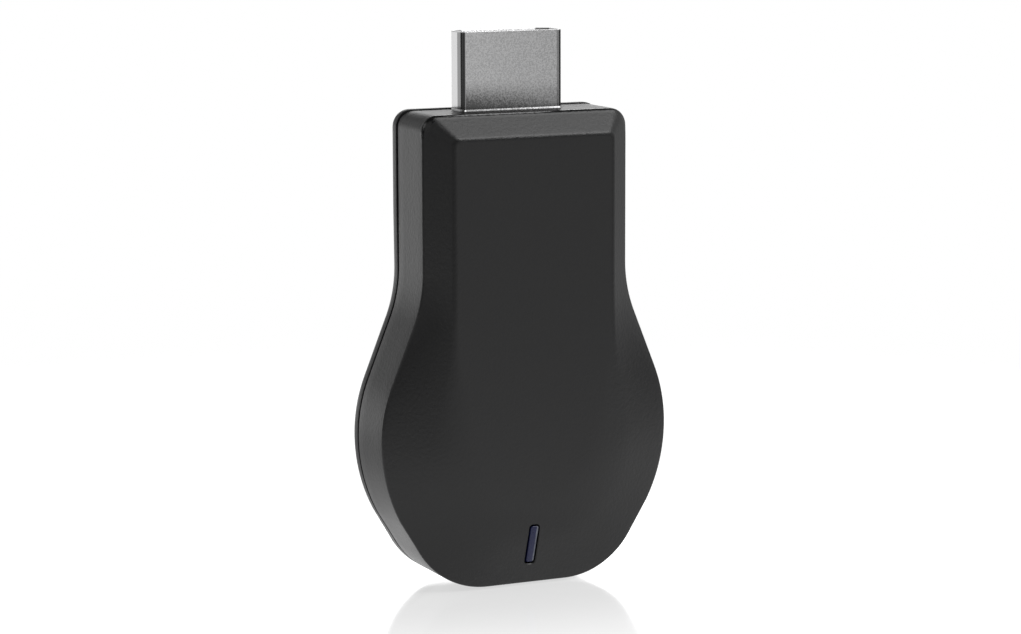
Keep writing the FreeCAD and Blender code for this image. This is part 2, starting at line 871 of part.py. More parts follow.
def power_socket_tongue():
    """The power socket's plastic block and tongue."""
    block_low_z = socket_top_z - socket_block_depth
    core = socket_prism(-socket_sheet - inner_clearance, block_low_z, socket_top_z - inner_clearance)
    tongue = box(
        (-socket_tongue_width / 2, socket_tongue_y() - socket_tongue_thickness / 2,
         socket_recess + socket_tongue_recess),
        (socket_tongue_width / 2, socket_tongue_y() + socket_tongue_thickness / 2,
         block_low_z + socket_block_depth / 2),
    )
    channels = [
        block(
            x, socket_top_z - socket_block_depth / 2, socket_contact_width + 2 * inner_clearance,
            socket_block_depth + overrun,
            socket_contact_y() - socket_contact_thickness / 2 - inner_clearance,
            socket_contact_y() + socket_contact_thickness / 2,
        )
        for x in socket_contact_places()
    ]
    return fused([core, tongue]).cut(channels)


def socket_contact_places():
    """The X places of the power socket's contacts."""
    middle = (socket_contact_count - 1) / 2
    return [(index - middle) * socket_contact_pitch for index in range(socket_contact_count)]


def power_socket_contacts():
    """The power socket's contacts: flat on the tongue, through the block and down to the board."""
    y = socket_contact_y()
    tail_y = board_front_y - socket_contact_thickness / 2
    path = [
        (y, socket_recess + socket_tongue_recess + socket_contact_setback), (y, socket_top_z),
        (tail_y, socket_top_z + socket_contact_step),
        (tail_y, socket_top_z + socket_contact_step + socket_contact_tail),
    ]
    strips = [
        bent_strip(path, socket_contact_thickness, socket_contact_width, x)
        for x in socket_contact_places()
    ]
    return Part.makeCompound(strips)


def lead(rear, face, drop):
    """One gull-wing lead along X from a chip's side at zero: out, down and out along the board."""
    path = [(0, face), (lead_reach / 2, rear), (lead_reach, rear)]
    under = [(x, y - drop) for x, y in reversed(path)]
    loop = [Vector(x, y, -lead_width / 2) for x, y in path + under]
    return Part.Face(Part.makePolygon(loop + loop[:1])).extrude(Vector(0, 0, lead_width))


def chip_leads(x, z, size, thickness, count, pitch, sides):
    """Rows of leads round a chip, on the sides given as angles."""
    shapes = []
    face = chip_rear_y - thickness / 2 + lead_thickness / 2
    for angle in sides:
        for index in range(count):
            shape = lead(board_front_y, face, lead_thickness)
            shape.translate(Vector(size / 2, 0, (index - (count - 1) / 2) * pitch))
            shape.rotate(Vector(0, 0, 0), Vector(0, 1, 0), angle)
            shape.translate(Vector(x, 0, z))
            shapes.append(shape)
    return Part.makeCompound(shapes)


def chip_body(x, z, width, height, thickness):
    """A chip's moulded body, held off the board by its leads, its front edges bevelled."""
    body = block(x, z, width, height, chip_rear_y - thickness, chip_rear_y)
    front = [
        item for item in body.Edges
        if max(vertex.Y for vertex in item.Vertexes) < chip_rear_y - thickness + 0.001
    ]
    return body.makeChamfer(thickness * chip_bevel_share, front)


def main_processor():
    """The main processor's body."""
    return chip_body(0, processor_z, processor_size, processor_size, processor_thickness)


def processor_leads():
    """The main processor's leads, on its four sides."""
    return chip_leads(
        0, processor_z, processor_size, processor_thickness, leads_per_side, lead_pitch, (0, 90, 180, 270)
    )


def thermal_pad():
    """The soft pad between the processor and its heat sink."""
    face_y = chip_rear_y - processor_thickness
    return block(0, processor_z, pad_size, pad_size, face_y - pad_thickness, face_y)


def heat_sink():
    """The small heat sink: a plate with upright fins."""
    base_y = chip_rear_y - processor_thickness - pad_thickness
    fin_y = base_y - heat_sink_base
    plate = block(0, processor_z, heat_sink_size, heat_sink_size, fin_y, base_y)
    step = (heat_sink_size - fin_thickness) / (fin_count - 1)
    fins = [
        block(
            index * step - (heat_sink_size - fin_thickness) / 2, processor_z,
            fin_thickness, heat_sink_size, fin_y - fin_height, fin_y,
        )
        for index in range(fin_count)
    ]
    return fused([plate] + fins)


def flash_memory():
    """The flash memory's body."""
    return chip_body(flash_x, flash_z, flash_size, flash_size, flash_thickness)


def flash_leads():
    """The flash memory's leads, on two sides."""
    return chip_leads(
        flash_x, flash_z, flash_size, flash_thickness, flash_leads_per_side, flash_lead_pitch, (0, 180)
    )


def wireless_module_board():
    """The wireless module's own small board, with solder notches down its sides."""
    board = block(
        module_x, module_z, module_width, module_height, board_front_y - module_thickness, board_front_y
    )
    notches = [
        block(
            module_x + side * module_width / 2,
            module_z + (index - (notches_per_side - 1) / 2) * notch_pitch,
            notch_width, notch_width, board_front_y - module_thickness, board_front_y,
        )
        for side in (-1, 1)
        for index in range(notches_per_side)
    ]
    return board.cut(notches)


def wireless_module_can():
    """The drawn shielding can over the wireless module's chips."""
    base_y = board_front_y - module_thickness
    can = block(module_x, module_z, can_width, can_height, base_y - can_thickness, base_y)
    can = can.makeFillet(can_corner_radius, long_edges(can, Vector(0, 1, 0)))
    inner = block(
        module_x, module_z, can_width - 2 * antenna_sheet, can_height - 2 * antenna_sheet,
        base_y - can_thickness + antenna_sheet, base_y,
    )
    return can.cut(inner)


def antenna():
    """The stamped antenna: an arm over the board on two legs."""
    face_y = board_front_y - antenna_rise
    low_z = module_z - antenna_length / 2
    arm = block(
        antenna_x, module_z, antenna_width, antenna_length, face_y - antenna_sheet, face_y
    )
    legs = [
        block(antenna_x, z, antenna_width, antenna_sheet, face_y - antenna_sheet / 2, board_front_y)
        for z in (low_z + antenna_sheet / 2, low_z + antenna_length * antenna_leg_share)
    ]
    return fused([arm] + legs)


def crystal():
    """The clock crystal's can."""
    body = block(
        crystal_x, crystal_z, crystal_width, crystal_height, board_front_y - crystal_thickness, board_front_y
    )
    return body.makeFillet(crystal_corner_radius, long_edges(body, Vector(0, 1, 0)))


def regulator():
    """The voltage regulator's body."""
    return chip_body(regulator_x, regulator_z, regulator_width, regulator_height, regulator_thickness)


def regulator_leads():
    """The voltage regulator's leads, above and below it."""
    return chip_leads(
        regulator_x, regulator_z, regulator_height, regulator_thickness,
        regulator_leads_per_side, regulator_lead_pitch, (90, 270),
    )


def power_inductor():
    """The power inductor: a square moulded block with cut corners."""
    face_y = board_front_y - inductor_thickness
    body = block(inductor_x, inductor_z, inductor_size, inductor_size, face_y, board_front_y)
    return body.makeChamfer(inductor_size * inductor_corner_share, long_edges(body, Vector(0, 1, 0)))


def small_part(x, z, thickness, face_y, way):
    """A small part on the board: a body and a metal end each side, standing up from a face."""
    far = face_y + way * thickness
    body = block(
        x, z, small_part_length - 2 * terminal_rise, small_part_width - 2 * terminal_rise,
        min(face_y, far), max(face_y, far),
    )
    far = far + way * terminal_rise
    ends = [
        block(
            x + side * (small_part_length - terminal_length) / 2, z, terminal_length,
            small_part_width, min(face_y, far), max(face_y, far),
        )
        for side in (-1, 1)
    ]
    return fused([body] + ends)


def front_row(z, thickness):
    """A row of small parts on the board's front."""
    return [
        small_part(small_part_row_x + index * small_part_pitch, z, thickness, board_front_y, -1)
        for index in range(row_count)
    ]


def capacitors():
    """The capacitors: a row on the front and a row behind the processor."""
    parts = front_row(capacitor_row_z, capacitor_thickness)
    for index in range(rear_row_count):
        x = (index - (rear_row_count - 1) / 2) * rear_row_gap
        parts.append(small_part(x, processor_z, capacitor_thickness, board_rear_y, 1))
    return Part.makeCompound(parts)


def resistors():
    """The resistors: a row on the board's front."""
    return Part.makeCompound(front_row(resistor_row_z, resistor_thickness))


def status_light():
    """The indicator light on the board, under the lens's stem."""
    z = slot_high_z + lens_end_clearance - lens_stem_height / 2
    step_y = board_front_y - light_thickness * light_base_share
    base = block(0, z, light_length, light_height, step_y, board_front_y)
    dome = block(
        0, z, light_length * light_dome_share, light_height, board_front_y - light_thickness, step_y
    )
    return fused([base, dome])


nodes = {
    "front_shell": front_shell(),
    "rear_shell": rear_shell(),
    "indicator_lens": indicator_lens(),
    "mode_button": mode_button(),
    "switch_body": switch_body(),
    "switch_cover": switch_cover(),
    "switch_plunger": switch_plunger(),
    "circuit_board": circuit_board(),
    "plug_shell": plug_shell(),
    "plug_insulator": plug_insulator(),
    "plug_contacts_front": plug_contacts(-1, front_contact_count),
    "plug_contacts_rear": plug_contacts(1, rear_contact_count),
    "power_socket_shell": power_socket_shell(),
    "power_socket_tongue": power_socket_tongue(),
    "power_socket_contacts": power_socket_contacts(),
    "main_processor": main_processor(),
    "processor_leads": processor_leads(),
    "thermal_pad": thermal_pad(),
    "heat_sink": heat_sink(),
    "flash_memory": flash_memory(),
    "flash_leads": flash_leads(),
    "wireless_module_board": wireless_module_board(),
    "wireless_module_can": wireless_module_can(),
    "antenna": antenna(),
    "crystal": crystal(),
    "regulator": regulator(),
    "regulator_leads": regulator_leads(),
    "power_inductor": power_inductor(),
    "capacitors": capacitors(),
    "resistors": resistors(),
    "status_light": status_light(),
}

os.makedirs("parts", exist_ok=True)
for name, shape in nodes.items():
    shape.exportStep(f"parts/{name}.step")
    print(name, len(shape.Solids), "valid" if shape.isValid() else "NOT VALID", round(shape.Volume, 3))
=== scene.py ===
import math

import bmesh
import bpy
import numpy as np
from mathutils import Matrix


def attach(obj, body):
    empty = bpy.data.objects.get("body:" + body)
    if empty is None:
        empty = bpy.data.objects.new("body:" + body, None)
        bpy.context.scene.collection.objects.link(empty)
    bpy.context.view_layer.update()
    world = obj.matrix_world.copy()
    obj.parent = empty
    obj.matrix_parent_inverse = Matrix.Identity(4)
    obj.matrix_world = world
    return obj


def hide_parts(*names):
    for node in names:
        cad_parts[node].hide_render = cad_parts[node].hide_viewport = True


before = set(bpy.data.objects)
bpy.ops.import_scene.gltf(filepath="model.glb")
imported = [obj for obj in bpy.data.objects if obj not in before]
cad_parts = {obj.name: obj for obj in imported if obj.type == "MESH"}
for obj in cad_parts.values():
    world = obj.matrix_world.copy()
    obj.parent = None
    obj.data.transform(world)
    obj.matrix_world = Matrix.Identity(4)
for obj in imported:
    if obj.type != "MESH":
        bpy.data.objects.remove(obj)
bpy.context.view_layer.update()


# Circuit board
# A glass-fibre board under green solder resist. Copper tracks show through it as paler lines.
# It sits on two pins in the neck and lies between rests in the round end.

class Signal:
    """An output socket that can be used in sums. Each sum adds its Math node."""

    def __init__(self, finish, socket):
        self.finish = finish
        self.socket = socket

    def sum(self, operation, first, second):
        return self.finish.node("ShaderNodeMath", {"operation": operation}, {0: first, 1: second})

    def __add__(self, other):
        return self.sum("ADD", self, other)

    def __radd__(self, other):
        return self.sum("ADD", other, self)

    def __sub__(self, other):
        return self.sum("SUBTRACT", self, other)

    def __rsub__(self, other):
        return self.sum("SUBTRACT", other, self)

    def __mul__(self, other):
        return self.sum("MULTIPLY", self, other)


class Finish:
    """A material in the making: its nodes, and the shader that they feed."""

    def __init__(self, name, **constants):
        self.material = bpy.data.materials.new(name)
        self.material.use_nodes = True
        self.tree = self.material.node_tree
        self.shader = self.tree.nodes["Principled BSDF"]
        for socket, value in constants.items():
            self.shader.inputs[socket.replace("_", " ")].default_value = value
        self.place = self.node("ShaderNodeTexCoord", {}, {}, "Object")

    def node(self, kind, settings, inputs, output=0):
        """Any node: its settings first, then a value or a signal for each input."""
        made = self.tree.nodes.new(kind)
        for setting, value in settings.items():
            setattr(made, setting, value)
        for key, value in inputs.items():
            if isinstance(value, Signal):
                self.tree.links.new(value.socket, made.inputs[key])
            else:
                made.inputs[key].default_value = value
        return Signal(self, made.outputs[output])

    def noise(self, scale, detail=2.0, stretch=(1, 1, 1)):
        """Noise on the piece's own coordinates. A feature is about one over the scale, in
        metres."""
        place = self.node(
            "ShaderNodeVectorMath", {"operation": "MULTIPLY"}, {0: self.place, 1: stretch}
        )
        inputs = {"Vector": place, "Scale": scale, "Detail": detail}
        return self.node("ShaderNodeTexNoise", {}, inputs)

    def axis(self, name):
        """One of the piece's own coordinates, in metres."""
        return self.node("ShaderNodeSeparateXYZ", {}, {0: self.place}, name)

    def step(self, signal, low, high):
        """A smooth rise from 0 to 1 as the signal goes from low to high."""
        return self.node(
            "ShaderNodeMapRange", {"interpolation_type": "SMOOTHSTEP"},
            {"Value": signal, "From Min": low, "From Max": high},
        )

    def blend(self, factor, first, second):
        """One colour where the factor is 0, and the other where it is 1."""
        settings = {"data_type": "RGBA"}
        inputs = {0: factor, 6: (*first, 1) if isinstance(first, tuple) else first,
                  7: (*second, 1) if isinstance(second, tuple) else second}
        return self.node("ShaderNodeMix", settings, inputs, 2)

    def colour(self, signal):
        self.tree.links.new(signal.socket, self.shader.inputs["Base Color"])

    def roughness(self, signal):
        self.tree.links.new(signal.socket, self.shader.inputs["Roughness"])

    def bump(self, height, distance):
        """Raises the surface by the height times the distance, in metres."""
        inputs = {"Strength": 1.0, "Distance": distance, "Height": height}
        normal = self.node("ShaderNodeBump", {}, inputs, "Normal")
        self.tree.links.new(normal.socket, self.shader.inputs["Normal"])

    def grained(self, noise, dark, pale, rough, rougher, relief):
        """A fine grain: its colour goes from dark to pale, its roughness rises by the amount of
        rougher, and it stands up by the relief, in metres."""
        self.colour(self.blend(noise, dark, pale))
        self.roughness(rough + noise * rougher)
        self.bump(noise, relief)


def paint(finish, *nodes):
    """Gives CAD nodes a finish."""
    for node in nodes:
        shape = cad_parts[node]
        for material_slot in shape.material_slots:
            material_slot.material = finish.material


laminate = Finish("laminate", Metallic=0.0, IOR=1.5)
tracks = laminate.node(
    "ShaderNodeTexVoronoi", {"feature": "DISTANCE_TO_EDGE"},
    {"Vector": laminate.place, "Scale": 420.0, "Randomness": 0.55}, "Distance",
)
copper_line = 1 - laminate.step(tracks, 0.02, 0.06)
mottle = laminate.noise(900.0)
green = laminate.blend(mottle, (0.012, 0.085, 0.035), (0.018, 0.115, 0.048))
laminate.colour(laminate.blend(copper_line * 0.7, green, (0.055, 0.21, 0.085)))
laminate.roughness(0.28 + mottle * 0.12)
laminate.bump(copper_line + mottle * 0.1, 0.00003)
paint(laminate, "circuit_board", "wireless_module_board")


# Chips and their leads
# Black moulded packages with a dull, slightly pitted face, on bent tinned leads that are
# soldered to the board's front.

epoxy = Finish("epoxy", Metallic=0.0, IOR=1.5)
pits = epoxy.noise(6000.0, 4.0)
epoxy.grained(pits, (0.022, 0.022, 0.024), (0.038, 0.038, 0.040), 0.48, 0.2, 0.000012)
paint(epoxy, "main_processor", "flash_memory", "regulator")

tinned = Finish("tinned", Metallic=1.0)
solder = tinned.noise(2600.0, 3.0)
tinned.grained(solder, (0.52, 0.52, 0.53), (0.68, 0.68, 0.69), 0.24, 0.16, 0.000008)
paint(tinned, "processor_leads", "flash_leads", "regulator_leads")
paint(tinned, "wireless_module_can", "crystal")


# Thermal pad and heat sink
# A soft blue-grey silicone pad, and on it a small extruded aluminium sink with upright fins.
# Die lines run along the fins.

silicone = Finish("silicone", Metallic=0.0, IOR=1.41)
fill = silicone.noise(1800.0, 3.0)
silicone.grained(fill, (0.25, 0.32, 0.44), (0.33, 0.40, 0.51), 0.6, 0.2, 0.00002)
paint(silicone, "thermal_pad")

aluminium = Finish("aluminium", Metallic=1.0)
die_lines = aluminium.noise(5200.0, 2.0, (1, 1, 0.03))
aluminium.grained(die_lines, (0.60, 0.61, 0.62), (0.74, 0.75, 0.76), 0.30, 0.18, 0.000006)
paint(aluminium, "heat_sink")


# Small parts on the board
# Capacitors, resistors, the power inductor and the light: small ceramic, coated and resin
# bodies, soldered to the board in rows.

ceramic = Finish("ceramic", Metallic=0.0)
speckle = ceramic.noise(5200.0, 3.0)
ceramic.grained(speckle, (0.40, 0.29, 0.19), (0.52, 0.39, 0.27), 0.36, 0.2, 0.000008)
paint(ceramic, "capacitors")

coated = Finish("coated", Metallic=0.0)
coating = coated.noise(4600.0, 3.0)
coated.grained(coating, (0.030, 0.030, 0.036), (0.060, 0.060, 0.066), 0.30, 0.2, 0.000006)
paint(coated, "resistors")

ferrite = Finish("ferrite", Metallic=0.0)
sinter = ferrite.noise(7000.0, 4.0)
ferrite.grained(sinter, (0.060, 0.060, 0.064), (0.105, 0.105, 0.110), 0.55, 0.2, 0.000015)
paint(ferrite, "power_inductor")

resin = Finish("resin", Metallic=0.0, IOR=1.5)
cloud = resin.noise(1500.0)
resin.grained(cloud, (0.74, 0.72, 0.60), (0.84, 0.82, 0.71), 0.18, 0.1, 0.00001)
paint(resin, "status_light")


# Antenna and contacts
# Stamped copper alloy under thin gold plating: the antenna, both rows of plug contacts and the
# power socket's contacts.

gold = Finish("gold", Metallic=1.0)
plating = gold.noise(3800.0, 3.0)
gold.grained(plating, (0.72, 0.50, 0.20), (0.86, 0.63, 0.28), 0.20, 0.14, 0.000005)
paint(gold, "antenna", "plug_contacts_front", "plug_contacts_rear", "power_socket_contacts")


# Side switch
# A black body under a folded tinned cover, soldered to the board's edge, with a pale plunger
# that the mode button pushes.

switch_plastic = Finish("switch_plastic", Metallic=0.0, IOR=1.48)
switch_grain = switch_plastic.noise(5200.0, 3.0)
switch_plastic.grained(
    switch_grain, (0.035, 0.035, 0.036), (0.055, 0.055, 0.056), 0.42, 0.18, 0.000008
)
paint(switch_plastic, "switch_body")
paint(tinned, "switch_cover")

plunger_plastic = Finish("plunger_plastic", Metallic=0.0, IOR=1.48)
plunger_grain = plunger_plastic.noise(4200.0, 3.0)
plunger_plastic.grained(
    plunger_grain, (0.55, 0.54, 0.50), (0.66, 0.65, 0.61), 0.38, 0.18, 0.000008
)
paint(plunger_plastic, "switch_plunger")


# Power socket
# A formed tinned shell with a black tongue, soldered to the board behind the foot's opening.
# Its edges are slightly rounded by the press tool.

insulator_plastic = Finish("insulator_plastic", Metallic=0.0, IOR=1.5)
insulator_grain = insulator_plastic.noise(5200.0, 3.0)
insulator_plastic.grained(
    insulator_grain, (0.014, 0.014, 0.015), (0.026, 0.026, 0.027), 0.36, 0.2, 0.000008
)


same_point = 0.000002
flat_angle, crease_angle, edge_angle = 0.5, 30, 40


def shade(mesh, angle):
    """Shades a mesh smooth, with sharp edges where its faces turn by more than the angle."""
    mesh.polygons.foreach_set("use_smooth", np.ones(len(mesh.polygons), dtype=bool))
    mesh.set_sharp_from_angle(angle=math.radians(angle))


def dress(node, finish, name, body, bevel):
    """A copy of a CAD node with merged corners, flat faces joined up and narrow rounded edges."""
    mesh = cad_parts[node].data.copy()
    shape = bmesh.new()
    shape.from_mesh(mesh)
    bmesh.ops.remove_doubles(shape, verts=shape.verts, dist=same_point)
    bmesh.ops.dissolve_limit(
        shape, angle_limit=math.radians(flat_angle), verts=shape.verts, edges=shape.edges
    )
    shape.to_mesh(mesh)
    shape.free()
    for attribute in ("custom_normal", "sharp_face", "sharp_edge"):
        if attribute in mesh.attributes:
            mesh.attributes.remove(mesh.attributes[attribute])
    shade(mesh, crease_angle)
    piece = bpy.data.objects.new(name, mesh)
    bpy.context.scene.collection.objects.link(piece)
    mesh.materials.clear()
    mesh.materials.append(finish.material)
    rounded = piece.modifiers.new("rounded edges", "BEVEL")
    rounded.width = bevel
    rounded.segments = 3
    rounded.limit_method = "ANGLE"
    rounded.angle_limit = math.radians(edge_angle)
    rounded.harden_normals = True
    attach(piece, body)
    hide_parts(node)
    return piece


dress("power_socket_shell", tinned, "socket_sleeve", "dongle", 0.00004)
paint(insulator_plastic, "power_socket_tongue")


# Display plug
# Formed nickel-plated steel round a black core. The plating has a fine frosted grain. Painted
# shade darkens its face towards the body. The mouth is drawn in a little, and a small bead closes
# the gap at the root.
# From here on a shape's lengths are in millimetres, and those of a finish or a bevel in metres.

millimetre = 0.001
body_top, plug_top = 60.42, 70.35
hidden_top = 58.0
plug_half, plug_rear_half = 6.95, 5.25
plug_front_y, plug_slant_y, plug_rear_y = 0.17, 3.6, 4.62
plug_sheet = 0.35
plug_corner = 0.5
past_plug = 1.0
bead = 0.20
flat_margin = 0.06
cut_crease_angle = 32


def moulding(name, rows):
    """A closed surface through rows of points in millimetres, which each close on themselves."""
    points = np.array(rows)
    row_count, count = points.shape[:2]
    first = np.arange(row_count - 1)[:, None] * count + np.arange(count)
    second = np.arange(row_count - 1)[:, None] * count + (np.arange(count) + 1) % count
    faces = np.stack([first, second, second + count, first + count], axis=2).reshape(-1, 4)
    mesh = bpy.data.meshes.new(name)
    mesh.from_pydata((points.reshape(-1, 3) * millimetre).tolist(), [], faces.tolist())
    shape = bmesh.new()
    shape.from_mesh(mesh)
    bmesh.ops.remove_doubles(shape, verts=shape.verts, dist=same_point)
    bmesh.ops.recalc_face_normals(shape, faces=shape.faces)
    shape.to_mesh(mesh)
    shape.free()
    piece = bpy.data.objects.new(name, mesh)
    bpy.context.scene.collection.objects.link(piece)
    return piece


def cut(piece, *tools, operation="DIFFERENCE"):
    """Cuts closed tools out of a piece, or joins them to it, deletes them and shades the piece."""
    for tool in tools:
        opening = piece.modifiers.new("opening", "BOOLEAN")
        opening.operation = operation
        opening.object = tool
        opening.solver = "EXACT"
    bpy.context.view_layer.update()
    seen = piece.evaluated_get(bpy.context.evaluated_depsgraph_get())
    mesh = bpy.data.meshes.new_from_object(seen)
    piece.modifiers.clear()
    piece.data = mesh
    for tool in tools:
        bpy.data.objects.remove(tool)
    shade(mesh, cut_crease_angle)


def rounded_loop(corners, radius, grow):
    """A loop of corners with rounded turns, moved out by a distance: each corner's arc keeps its
    centre, where the two sides moved in by the radius meet. A point a little past each end of an
    arc keeps the side flat."""
    along = np.roll(corners, -1, axis=0) - corners
    along /= np.linalg.norm(along, axis=1)[:, None]
    after = np.stack([along[:, 1], -along[:, 0]], axis=1)
    before = np.roll(after, 1, axis=0)
    centres = corners - radius * (before + after) / (1 + np.sum(before * after, axis=1))[:, None]
    start = np.arctan2(before[:, 1], before[:, 0])
    sweep = np.arctan2(
        before[:, 0] * after[:, 1] - before[:, 1] * after[:, 0], np.sum(before * after, axis=1)
    )
    angle = start[:, None] + sweep[:, None] * np.linspace(0, 1, 7)
    reach = radius + grow
    points = centres[:, None] + reach * np.stack([np.cos(angle), np.sin(angle)], axis=2)
    arriving = points[:, :1] - flat_margin * np.roll(along, 1, axis=0)[:, None]
    leaving = points[:, -1:] + flat_margin * along[:, None]
    return np.concatenate([arriving, points, leaving], axis=1).reshape(-1, 2)


def plug_section(grow):
    """The plug's section moved out by a distance: wide at the front, slanted to a narrower rear,
    every corner an arc about the same centre."""
    right = [(plug_half, plug_front_y), (plug_half, plug_slant_y), (plug_rear_half, plug_rear_y)]
    left = [(-x, y) for x, y in reversed(right)]
    return rounded_loop(np.array(right + left), plug_corner, grow)


def along_z(section, z):
    """A section in X and Y put at a height."""
    return np.stack([section[:, 0], section[:, 1], np.full(len(section), z)], axis=1)


def closed(rows):
    """Rows with a point at each end, in the middle of the first and of the last row."""
    return [rows[0] * 0 + rows[0].mean(axis=0)] + rows + [rows[-1] * 0 + rows[-1].mean(axis=0)]


def sleeve_rows():
    """The sleeve's wall carried round the plug's section: up the outside over the bead and the
    drawn-in mouth, across the rim and down the inside, back to its start. A row just past the bead
    and one just below the mouth keep the long faces between them flat."""
    outside = [
        (0, hidden_top), (0, body_top - 0.15), (bead - 0.02, body_top - 0.1),
        (bead, body_top - 0.07), (0.04, body_top + 0.13), (0, body_top + 0.18),
        (0, body_top + 0.22), (0, plug_top - 0.15), (0, plug_top - 0.11), (-0.01, plug_top - 0.05),
    ]
    mouth = [(-0.04, plug_top - 0.01), (-0.08, plug_top), (-0.29, plug_top)]
    inside = [(-plug_sheet, plug_top - 0.06), (-plug_sheet, hidden_top), (0, hidden_top)]
    return [along_z(plug_section(grow), z) for grow, z in outside + mouth + inside]


nickel = Finish("nickel", Metallic=1.0)
frost = nickel.step(nickel.noise(4800.0, 2.0), 0.34, 0.66)
height = nickel.axis("Z")
depth = nickel.axis("Y")
aside = nickel.axis("X")
across = nickel.node("ShaderNodeMath", {"operation": "ABSOLUTE"}, {0: aside})
flat_face = 1 - nickel.step(across, 0.00642, 0.00650)
plain = nickel.step(height, 0.06056, 0.06062) * (1 - nickel.step(height, 0.07020, 0.07026))
# Round each front bend painted shade darkens the sheet in a band, then greys it, with a thin
# painted shade line on the right.
front_bend = 1 - nickel.step(depth, 0.00050, 0.00065)
outer_bend = nickel.step(across, 0.00688, 0.00694)
bend_painted_shade = nickel.step(across, 0.00648, 0.00652) * (1 - outer_bend) * front_bend
bend_painted_half_shade = nickel.step(across, 0.00683, 0.00688) * (1 - nickel.step(depth, 0.00155, 0.00170))
right_painted_shade_line = nickel.step(aside, 0.00614, 0.00626) * front_bend
# Painted shade on the face: lighter to the left at the top, darker towards the body and most at the
# lower left. The frost's grain is the plating's own.
root_painted_shade = 1 - nickel.step(height, 0.0606, 0.0645)
face_tone_and_painted_shade = 0.45 - aside * 6 + root_painted_shade * (aside * 26 - 0.38)
grain = flat_face * (face_tone_and_painted_shade + (frost - 0.5) * 0.22) + (1 - flat_face) * 0.52
plating_and_painted_shade = nickel.blend(grain, (0.10, 0.10, 0.10), (0.85, 0.85, 0.855))
# The bends' painted shade, as the share left lit; the rest is blended to near black.
lit = (1 - bend_painted_shade * 0.82) * (1 - bend_painted_half_shade * 0.72) * (1 - right_painted_shade_line * 0.46)
nickel.colour(nickel.blend((1 - lit) * plain, plating_and_painted_shade, (0.03, 0.03, 0.03)))
nickel.roughness(0.22 + flat_face * frost * 0.08)
nickel.bump(frost * flat_face * plain, 0.0000009)

plug_sleeve = dress("plug_shell", nickel, "plug_sleeve", "dongle", 0.00005)
above_hidden = moulding("above_hidden", closed([
    along_z(plug_section(past_plug), hidden_top),
    along_z(plug_section(past_plug), plug_top + past_plug),
]))
cut(plug_sleeve, above_hidden)
cut(plug_sleeve, moulding("sleeve_top", sleeve_rows()), operation="UNION")
dress("plug_insulator", insulator_plastic, "plug_core", "dongle", 0.00004)


# Front shell
# Injection-moulded black plastic with a fine matt grain: the raised panel, the facets round it
# and the side wall. The panel's edge is crisp in the neck and softens round the lower end, and
# the rim over the neck is worn a little smoother.

neck_half = 14.1
shoulder_radius = 2.1
round_radius = 19.85
round_z = 19.4
bend_radius = 17.4
neck_angle = 22.1
foot_angle = 29.2
foot_radius = 10.9
round_stretch = 1.04
panel_half = 11.0
panel_top = 57.55
panel_corner = 0.9
front_y, rim_y, parting_y = -6.5, -3.7, 4.05
wall = 1.4
panel_softness, low_softness, low_from, low_over = 0.5, 3.2, 34, 20
rim_softness, top_softness, top_from, top_over = 0.28, 0.22, 57, 2
seam_edge = 0.05
plug_clearance, plug_flare = 0.12, 0.65
slot_half, slot_low, slot_high, slot_corner = 0.75, 2.68, 8.12, 0.5
socket_corner, socket_clearance, socket_flare = 0.4, 0.35, 0.6
button_y, button_half_width, button_half_length, button_clearance = 1.07, 1.2, 3.0, 0.12
slot_chamfer, button_chamfer, chamfer_reach = 0.12, 0.1, 0.5


def turn(angle):
    """Across and up for a unit step at an angle from the X axis, in degrees."""
    return np.array([math.cos(math.radians(angle)), math.sin(math.radians(angle))])


def arc(centre, radius, start, end, count):
    """Points round a centre, at a radius, from one angle up to the next piece's first point."""
    angle = np.radians(np.linspace(start, end, count, endpoint=False))
    return np.array(centre) + radius * np.stack([np.cos(angle), np.sin(angle)], axis=1)


def straight(start, end, count):
    """Points along a line, up to the next piece's first point."""
    share = np.linspace(0, 1, count, endpoint=False)[:, None]
    return (1 - share) * np.array(start) + share * np.array(end)


def mirrored(right):
    """A whole loop from its right side, which starts and ends on the middle line."""
    return np.concatenate([right, right[-2:0:-1] * [-1, 1]])


def bend_height():
    """The height of the neck bend's centre: the neck line touches the round and the bend."""
    cosine, sine = turn(neck_angle)
    return round_z + (round_radius + bend_radius - (neck_half + bend_radius) * cosine) / sine


def body_outline(inset):
    """The body from the front, moved in by the inset: arcs joined by lines that touch them, from
    the foot round the right side to the top and back down the left side. The lower half of the
    round is stretched a little downwards."""
    cosine, sine = turn(foot_angle)
    foot_x = (round_radius - foot_radius + (foot_radius - round_z) * sine) / cosine
    foot = np.array([foot_x, foot_radius])
    middle = np.array([0, round_z])
    bend = np.array([neck_half + bend_radius, bend_height()])
    shoulder = max(shoulder_radius - inset, 0.2)
    corner = np.array([neck_half - inset - shoulder, body_top - inset - shoulder])
    low = (foot_radius - inset) * turn(-foot_angle) + foot
    round_low = (round_radius - inset) * turn(-foot_angle) * [1, round_stretch] + middle
    round_high = (round_radius - inset) * turn(neck_angle) + middle
    bend_low = (bend_radius + inset) * turn(180 + neck_angle) + bend
    right = np.concatenate([
        straight((0, inset), (foot_x, inset), 10),
        arc(foot, foot_radius - inset, -90, -foot_angle, 26),
        straight(low, round_low, 6),
        arc((0, 0), round_radius - inset, -foot_angle, 0, 22) * [1, round_stretch] + middle,
        arc(middle, round_radius - inset, 0, neck_angle, 16),
        straight(round_high, bend_low, 8),
        arc(bend, bend_radius + inset, 180 + neck_angle, 180, 20),
        straight((neck_half - inset, bend[1]), (neck_half - inset, corner[1]), 16),
        arc(corner, shoulder, 0, 90, 14),
        straight((corner[0], body_top - inset), (0, body_top - inset), 12),
        [(0, body_top - inset)],
    ])
    return mirrored(right)


